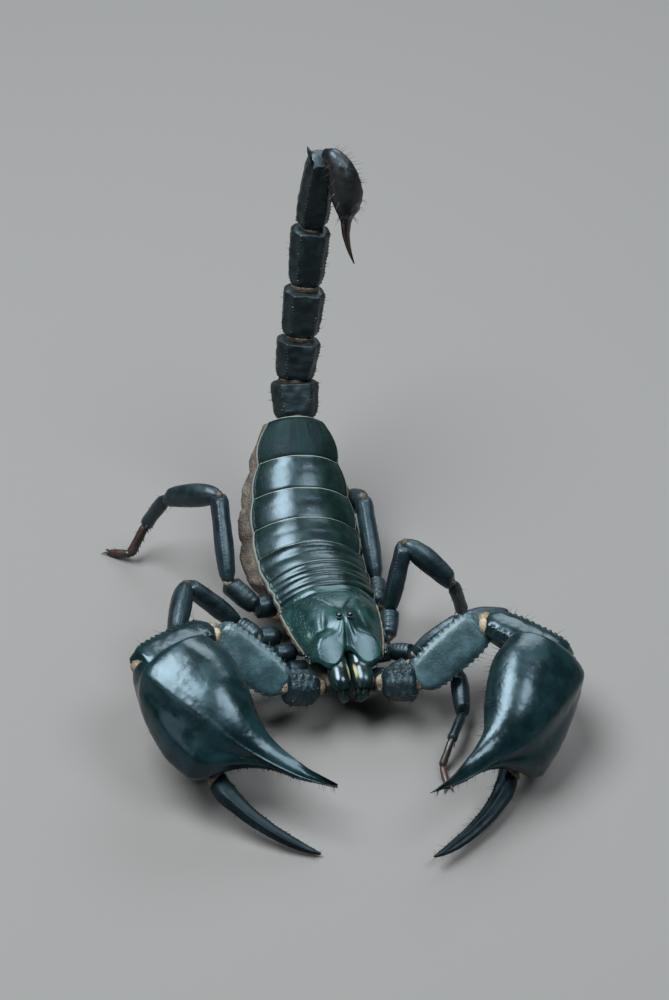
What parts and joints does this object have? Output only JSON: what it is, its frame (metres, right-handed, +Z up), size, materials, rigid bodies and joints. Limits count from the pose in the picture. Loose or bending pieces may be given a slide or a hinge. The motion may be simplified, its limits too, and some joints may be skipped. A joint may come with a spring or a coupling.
{
  "type": "scorpion model",
  "caption": "Life-size still model of a dark blue-green forest scorpion with open pincers held forward and a raised, arched tail.",
  "frame": {"origin": "centre of the footprint at floor level, under the soles of the feet", "axes": "+Z up; the head and the pincers point towards -Y and the raised tail stands towards +Y; the left side of the animal is towards +X"},
  "size_m": [0.0722, 0.1048, 0.0699],
  "materials": {
    "carapace_shell": "dark blue-green polished shell",
    "tergite_shell": "dark blue-green polished shell with pale rear edges",
    "belly_skin": "brown wrinkled skin",
    "comb_skin": "pale yellow-brown skin",
    "eye_lens": "black, very glossy",
    "jaw_shell": "near-black polished shell",
    "arm_shell": "dark grey-blue shell with granules",
    "hand_shell": "dark blue-green polished shell",
    "finger_shell": "dark polished shell",
    "leg_shell": "dark blue-green polished shell",
    "foot_shell": "dark red-brown shell",
    "tail_shell": "near-black shell with granule rows",
    "vesicle_shell": "near-black brown shell",
    "sting_shell": "dark red-brown polished shell"
  },
  "bodies": {
    "root": {"carapace": "carapace_shell", "tergite_1": "tergite_shell", "tergite_2": "tergite_shell", "tergite_3": "tergite_shell", "tergite_4": "tergite_shell", "tergite_5": "tergite_shell", "tergite_6": "tergite_shell", "tergite_7": "tergite_shell", "abdomen": "belly_skin", "prosoma": "belly_skin", "pectine_right": "comb_skin", "pectine_left": "comb_skin", "eye_right": "eye_lens", "eye_left": "eye_lens", "chelicera_right": "jaw_shell", "chelicera_left": "jaw_shell", "leg_right_1_upper": "leg_shell", "leg_right_1_lower": "leg_shell", "leg_right_1_foot": "foot_shell", "leg_right_2_upper": "leg_shell", "leg_right_2_lower": "leg_shell", "leg_right_2_foot": "foot_shell", "leg_right_3_upper": "leg_shell", "leg_right_3_lower": "leg_shell", "leg_right_3_foot": "foot_shell", "leg_right_4_upper": "leg_shell", "leg_right_4_lower": "leg_shell", "leg_right_4_foot": "foot_shell", "leg_left_1_upper": "leg_shell", "leg_left_1_lower": "leg_shell", "leg_left_1_foot": "foot_shell", "leg_left_2_upper": "leg_shell", "leg_left_2_lower": "leg_shell", "leg_left_2_foot": "foot_shell", "leg_left_3_upper": "leg_shell", "leg_left_3_lower": "leg_shell", "leg_left_3_foot": "foot_shell", "leg_left_4_upper": "leg_shell", "leg_left_4_lower": "leg_shell", "leg_left_4_foot": "foot_shell", "arm_right_trochanter": "arm_shell", "arm_right_femur": "arm_shell", "arm_right_patella": "arm_shell", "arm_right_hand": "hand_shell", "arm_right_finger": "finger_shell", "arm_left_trochanter": "arm_shell", "arm_left_femur": "arm_shell", "arm_left_patella": "arm_shell", "arm_left_hand": "hand_shell", "arm_left_finger": "finger_shell", "tail_1": "tail_shell", "tail_2": "tail_shell", "tail_3": "tail_shell", "tail_4": "tail_shell", "tail_5": "tail_shell", "telson_vesicle": "vesicle_shell", "telson_stinger": "sting_shell"}
  },
  "joints": []
}
